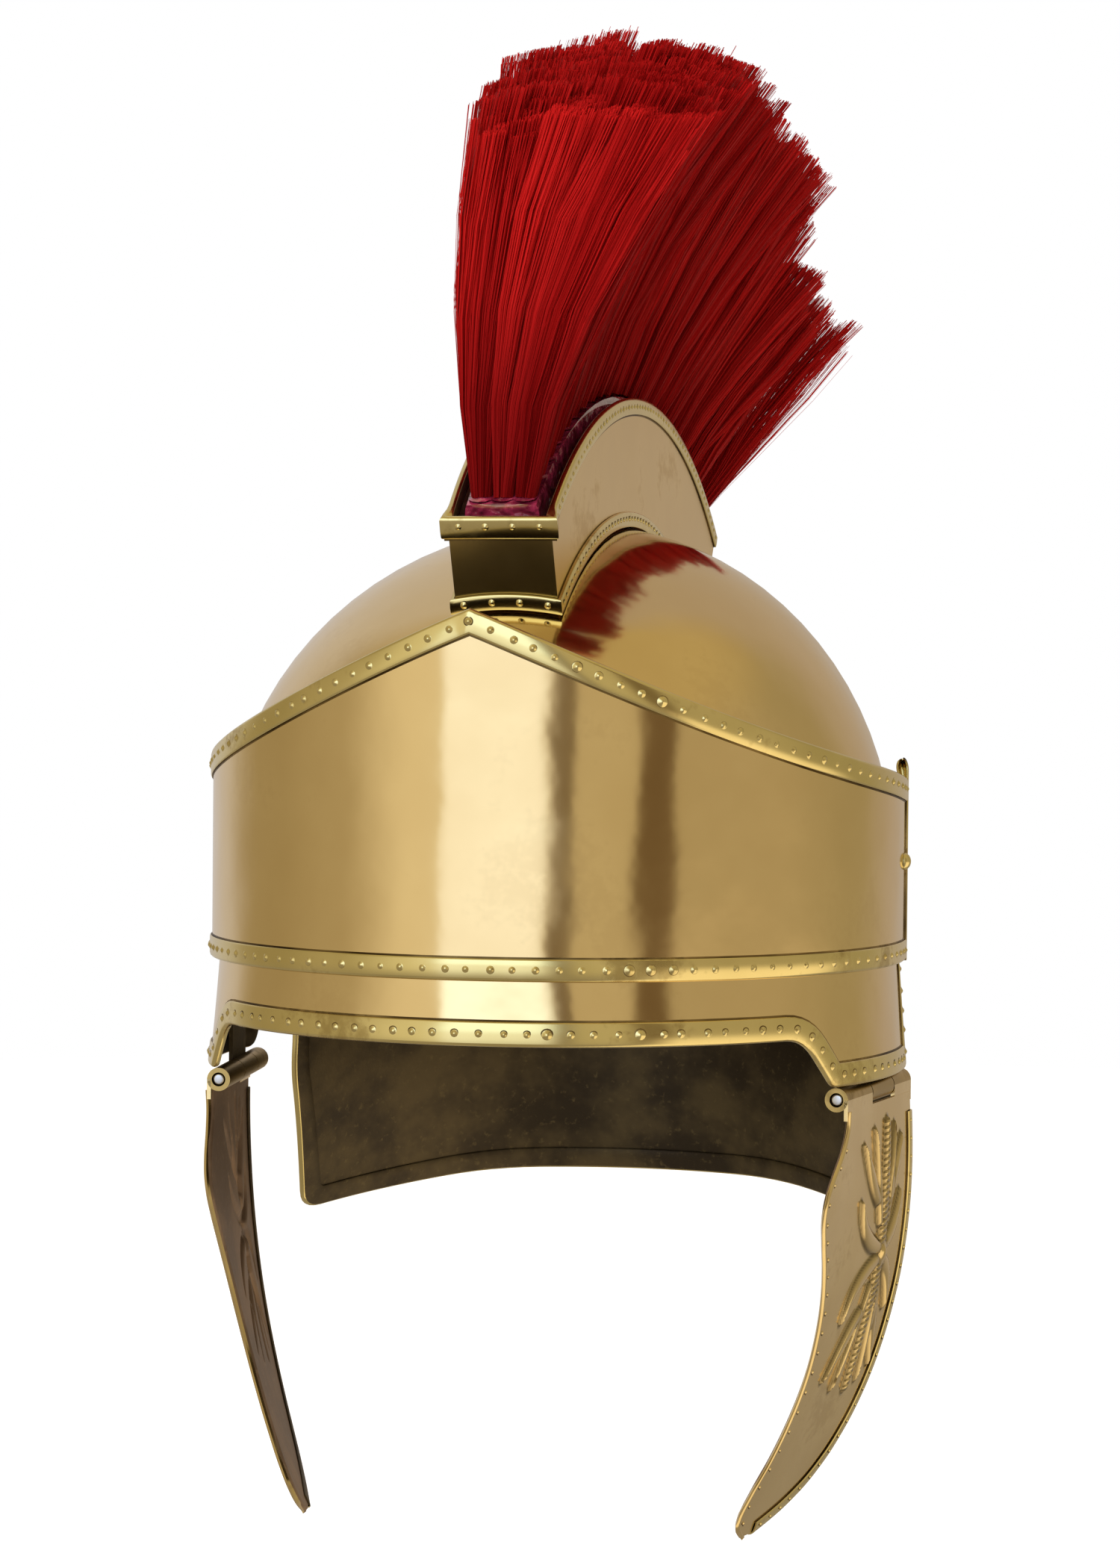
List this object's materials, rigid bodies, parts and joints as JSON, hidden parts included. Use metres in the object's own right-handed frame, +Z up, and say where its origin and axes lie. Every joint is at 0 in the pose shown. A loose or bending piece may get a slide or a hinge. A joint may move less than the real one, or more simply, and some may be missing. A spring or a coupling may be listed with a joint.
{
  "type": "attic helmet",
  "caption": "Attic helmet of polished sheet brass with a peaked brow plate, hinged cheek pieces, a flared neck guard and a crest box that carries a tall red hair plume.",
  "frame": {"origin": "middle of the head opening, level with the dots along the foot of the brow plate, where the helmet sits on a head", "axes": "+Z up through the crown, front towards -Y, the wearer's left towards +X"},
  "size_m": [0.2146, 0.3394, 0.45],
  "materials": {
    "brass": "polished sheet with a light tarnish, brown patina inside",
    "plume_base": "glossy dark red paint",
    "plume_hair": "dyed hair",
    "hinge_pin": "plain wire"
  },
  "bodies": {
    "helmet": {"skull": "brass", "skull_binding": "brass", "brow_plate": "brass", "brow_top_binding": "brass", "brow_foot_binding": "brass", "brow_end_binding_left": "brass", "brow_end_binding_right": "brass", "brow_rivet_left": "brass", "brow_rivet_right": "brass", "crest_box": "brass", "crest_top_binding": "brass", "crest_foot_binding": "brass", "plume_base": "plume_base", "plume": "plume_hair", "hinge_leaf_left": "brass", "hinge_leaf_right": "brass", "hinge_pin_left": "hinge_pin", "hinge_pin_right": "hinge_pin"},
    "cheek_left": {"cheek_piece_left": "brass", "cheek_binding_left": "brass"},
    "cheek_right": {"cheek_piece_right": "brass", "cheek_binding_right": "brass"}
  },
  "joints": [
    {"name": "cheek_left_hinge", "type": "hinge", "parent": "helmet", "child": "cheek_left", "pos_m": [0.0982, -0.013, -0.04], "axis": [-0.1357, -0.9907, 0], "range_deg": [-15, 90]},
    {"name": "cheek_right_hinge", "type": "hinge", "parent": "helmet", "child": "cheek_right", "pos_m": [-0.0982, -0.013, -0.04], "axis": [-0.1357, 0.9907, 0], "range_deg": [-15, 90]}
  ]
}
